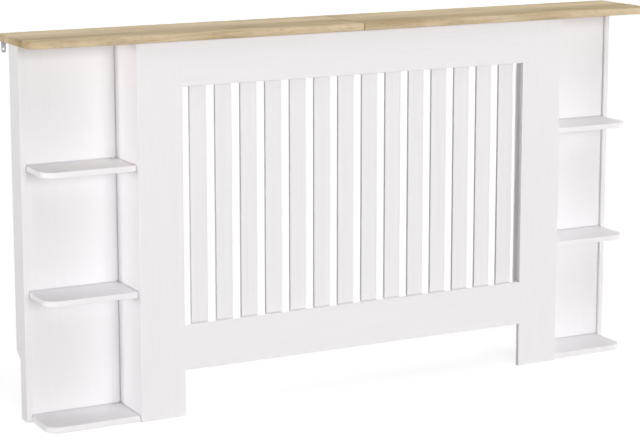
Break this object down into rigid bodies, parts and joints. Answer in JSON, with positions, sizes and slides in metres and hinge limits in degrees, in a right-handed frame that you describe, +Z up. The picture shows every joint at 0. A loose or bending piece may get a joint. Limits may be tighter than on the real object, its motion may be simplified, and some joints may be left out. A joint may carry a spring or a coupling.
{
  "type": "radiator cover cabinet",
  "caption": "White slatted radiator cover with open end shelves and an oak-effect top, notched to clear a skirting board and fixed to the wall by small angles.",
  "frame": {"origin": "on the floor, under the middle of the whole outline", "axes": "+X along the cover, -Y is the slatted front, +Y faces the wall, +Z up"},
  "size_m": [1.51, 0.19, 0.815],
  "materials": {
    "white_board": "satin white lacquer on MDF",
    "white_slat": "satin white lacquer on MDF slats",
    "oak_top": "oak-effect melamine foil on board, fine grain along the length",
    "dowel_wood": "plain beech",
    "screw_steel": "bright zinc plate",
    "plate_steel": "bright zinc plate",
    "bracket_grey": "grey coated steel"
  },
  "bodies": {
    "root": {"stile_left": "white_board", "stile_right": "white_board", "batten_left": "white_board", "batten_right": "white_board", "side_panel_left": "white_board", "side_panel_right": "white_board", "wing_back_left": "white_board", "wing_back_right": "white_board", "end_panel_left": "white_board", "end_panel_right": "white_board", "bottom_rail": "white_board", "top_rail": "white_board", "rear_stretcher": "white_board", "shelf_left_lower": "white_board", "shelf_left_middle": "white_board", "shelf_left_upper": "white_board", "shelf_right_lower": "white_board", "shelf_right_middle": "white_board", "shelf_right_upper": "white_board", "slat_01": "white_slat", "slat_02": "white_slat", "slat_03": "white_slat", "slat_04": "white_slat", "slat_05": "white_slat", "slat_06": "white_slat", "slat_07": "white_slat", "slat_08": "white_slat", "slat_09": "white_slat", "slat_10": "white_slat", "slat_11": "white_slat", "slat_12": "white_slat", "slat_13": "white_slat", "slat_14": "white_slat", "top_board_left": "oak_top", "top_board_right": "oak_top", "frame_dowels": "dowel_wood", "side_dowels": "dowel_wood", "wing_dowels": "dowel_wood", "shelf_dowels": "dowel_wood", "top_joint_dowels": "dowel_wood", "slat_screws": "screw_steel", "batten_screws": "screw_steel", "shelf_screws": "screw_steel", "stretcher_screws": "screw_steel", "top_joint_screws": "screw_steel", "top_bracket_screws": "screw_steel", "wall_bracket_screws": "screw_steel", "top_joint_plates": "plate_steel", "top_brackets": "plate_steel", "wall_bracket_left": "bracket_grey", "wall_bracket_right": "bracket_grey"}
  },
  "joints": []
}
